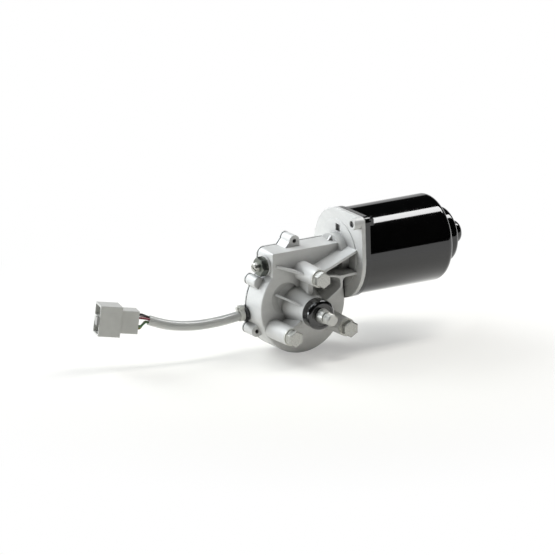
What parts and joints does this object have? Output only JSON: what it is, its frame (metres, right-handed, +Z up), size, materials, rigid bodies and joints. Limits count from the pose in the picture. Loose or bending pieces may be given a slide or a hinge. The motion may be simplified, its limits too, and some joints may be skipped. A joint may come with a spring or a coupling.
{
  "type": "wiper motor",
  "caption": "Windscreen wiper motor: DC motor in a round can, worm gear case with a serrated output shaft, mounting bosses and a short cable with connector.",
  "frame": {"origin": "on the output shaft's axis, in the plane of the three mounting seats", "axes": "-Y along the output shaft, pointing out of the case; +X along the armature towards the motor can; +Z up"},
  "size_m": [0.3435, 0.113, 0.1195],
  "materials": {
    "acetal": "moulded acetal",
    "bearing_steel": "ground and polished",
    "black_enamel": "gloss black enamel on steel",
    "black_rubber": "gloss moulded rubber",
    "brass": "stamped brass",
    "cable_pvc": "extruded grey PVC",
    "carbon": "pressed carbon",
    "connector_nylon": "moulded natural nylon",
    "copper": "turned copper",
    "dark_steel": "black phosphate",
    "die_cast_aluminium": "bead-blasted die casting",
    "electrical_steel": "stacked laminations",
    "enamelled_copper": "enamelled copper wire",
    "ferrite": "fired ferrite",
    "gasket_paper": "matt gasket sheet",
    "ground_steel": "ground steel",
    "latch_nylon": "moulded grey nylon",
    "phenolic": "moulded phenolic",
    "pressed_steel": "zinc-plated pressed sheet",
    "sintered_bronze": "oil-filled sintered bronze",
    "spring_steel": "blued strip",
    "wire_black_pvc": "extruded PVC",
    "wire_green_pvc": "extruded PVC",
    "wire_red_pvc": "extruded PVC",
    "wire_white_pvc": "extruded PVC",
    "wire_yellow_pvc": "extruded PVC",
    "zinc_plate": "bright zinc plate"
  },
  "bodies": {
    "housing": {"gear_housing": "die_cast_aluminium", "cover_gasket": "gasket_paper", "back_cover": "pressed_steel", "cover_screws": "zinc_plate", "mounting_bolts": "zinc_plate", "flat_washers": "zinc_plate", "spring_washers": "zinc_plate", "shaft_seal_cap": "black_rubber", "front_shaft_bush": "sintered_bronze", "rear_shaft_bush": "sintered_bronze", "motor_can": "black_enamel", "can_bolts": "black_enamel", "magnets": "ferrite", "magnet_clips": "spring_steel", "brush_plate": "phenolic", "brush_holders": "brass", "carbon_brushes": "carbon", "brush_springs": "spring_steel", "bearing_outer_race": "bearing_steel", "bearing_balls": "bearing_steel", "bearing_retainer": "pressed_steel", "tail_bearing": "sintered_bronze", "tail_retainer": "spring_steel", "thrust_screw": "zinc_plate", "thrust_pad": "acetal", "thrust_lock_nut": "dark_steel", "worm_bush": "sintered_bronze", "cable_sheath": "cable_pvc", "cable_grommet": "black_rubber", "cable_clamp": "zinc_plate", "clamp_screw": "dark_steel", "connector_shell": "connector_nylon", "connector_terminals": "brass", "connector_latch": "latch_nylon", "wire_black": "wire_black_pvc", "wire_red": "wire_red_pvc", "wire_white": "wire_white_pvc", "wire_green": "wire_green_pvc", "wire_yellow": "wire_yellow_pvc"},
    "armature": {"worm_shaft": "ground_steel", "armature_core": "electrical_steel", "armature_windings": "enamelled_copper", "commutator": "copper", "bearing_inner_race": "bearing_steel"},
    "output": {"output_shaft": "ground_steel", "worm_wheel": "acetal", "wheel_hub": "brass", "park_disc": "brass"}
  },
  "joints": [
    {"name": "armature_spin", "type": "hinge", "parent": "housing", "child": "armature", "pos_m": [0, 0.0383, 0.03818], "axis": [1, 0, 0], "continuous": true},
    {"name": "output_spin", "type": "hinge", "parent": "housing", "child": "output", "pos_m": [0, 0, 0], "axis": [0, -1, 0], "continuous": true}
  ],
  "couplings": [
    {"joint": "output_spin", "follows": "armature_spin", "ratio": 0.019231}
  ]
}
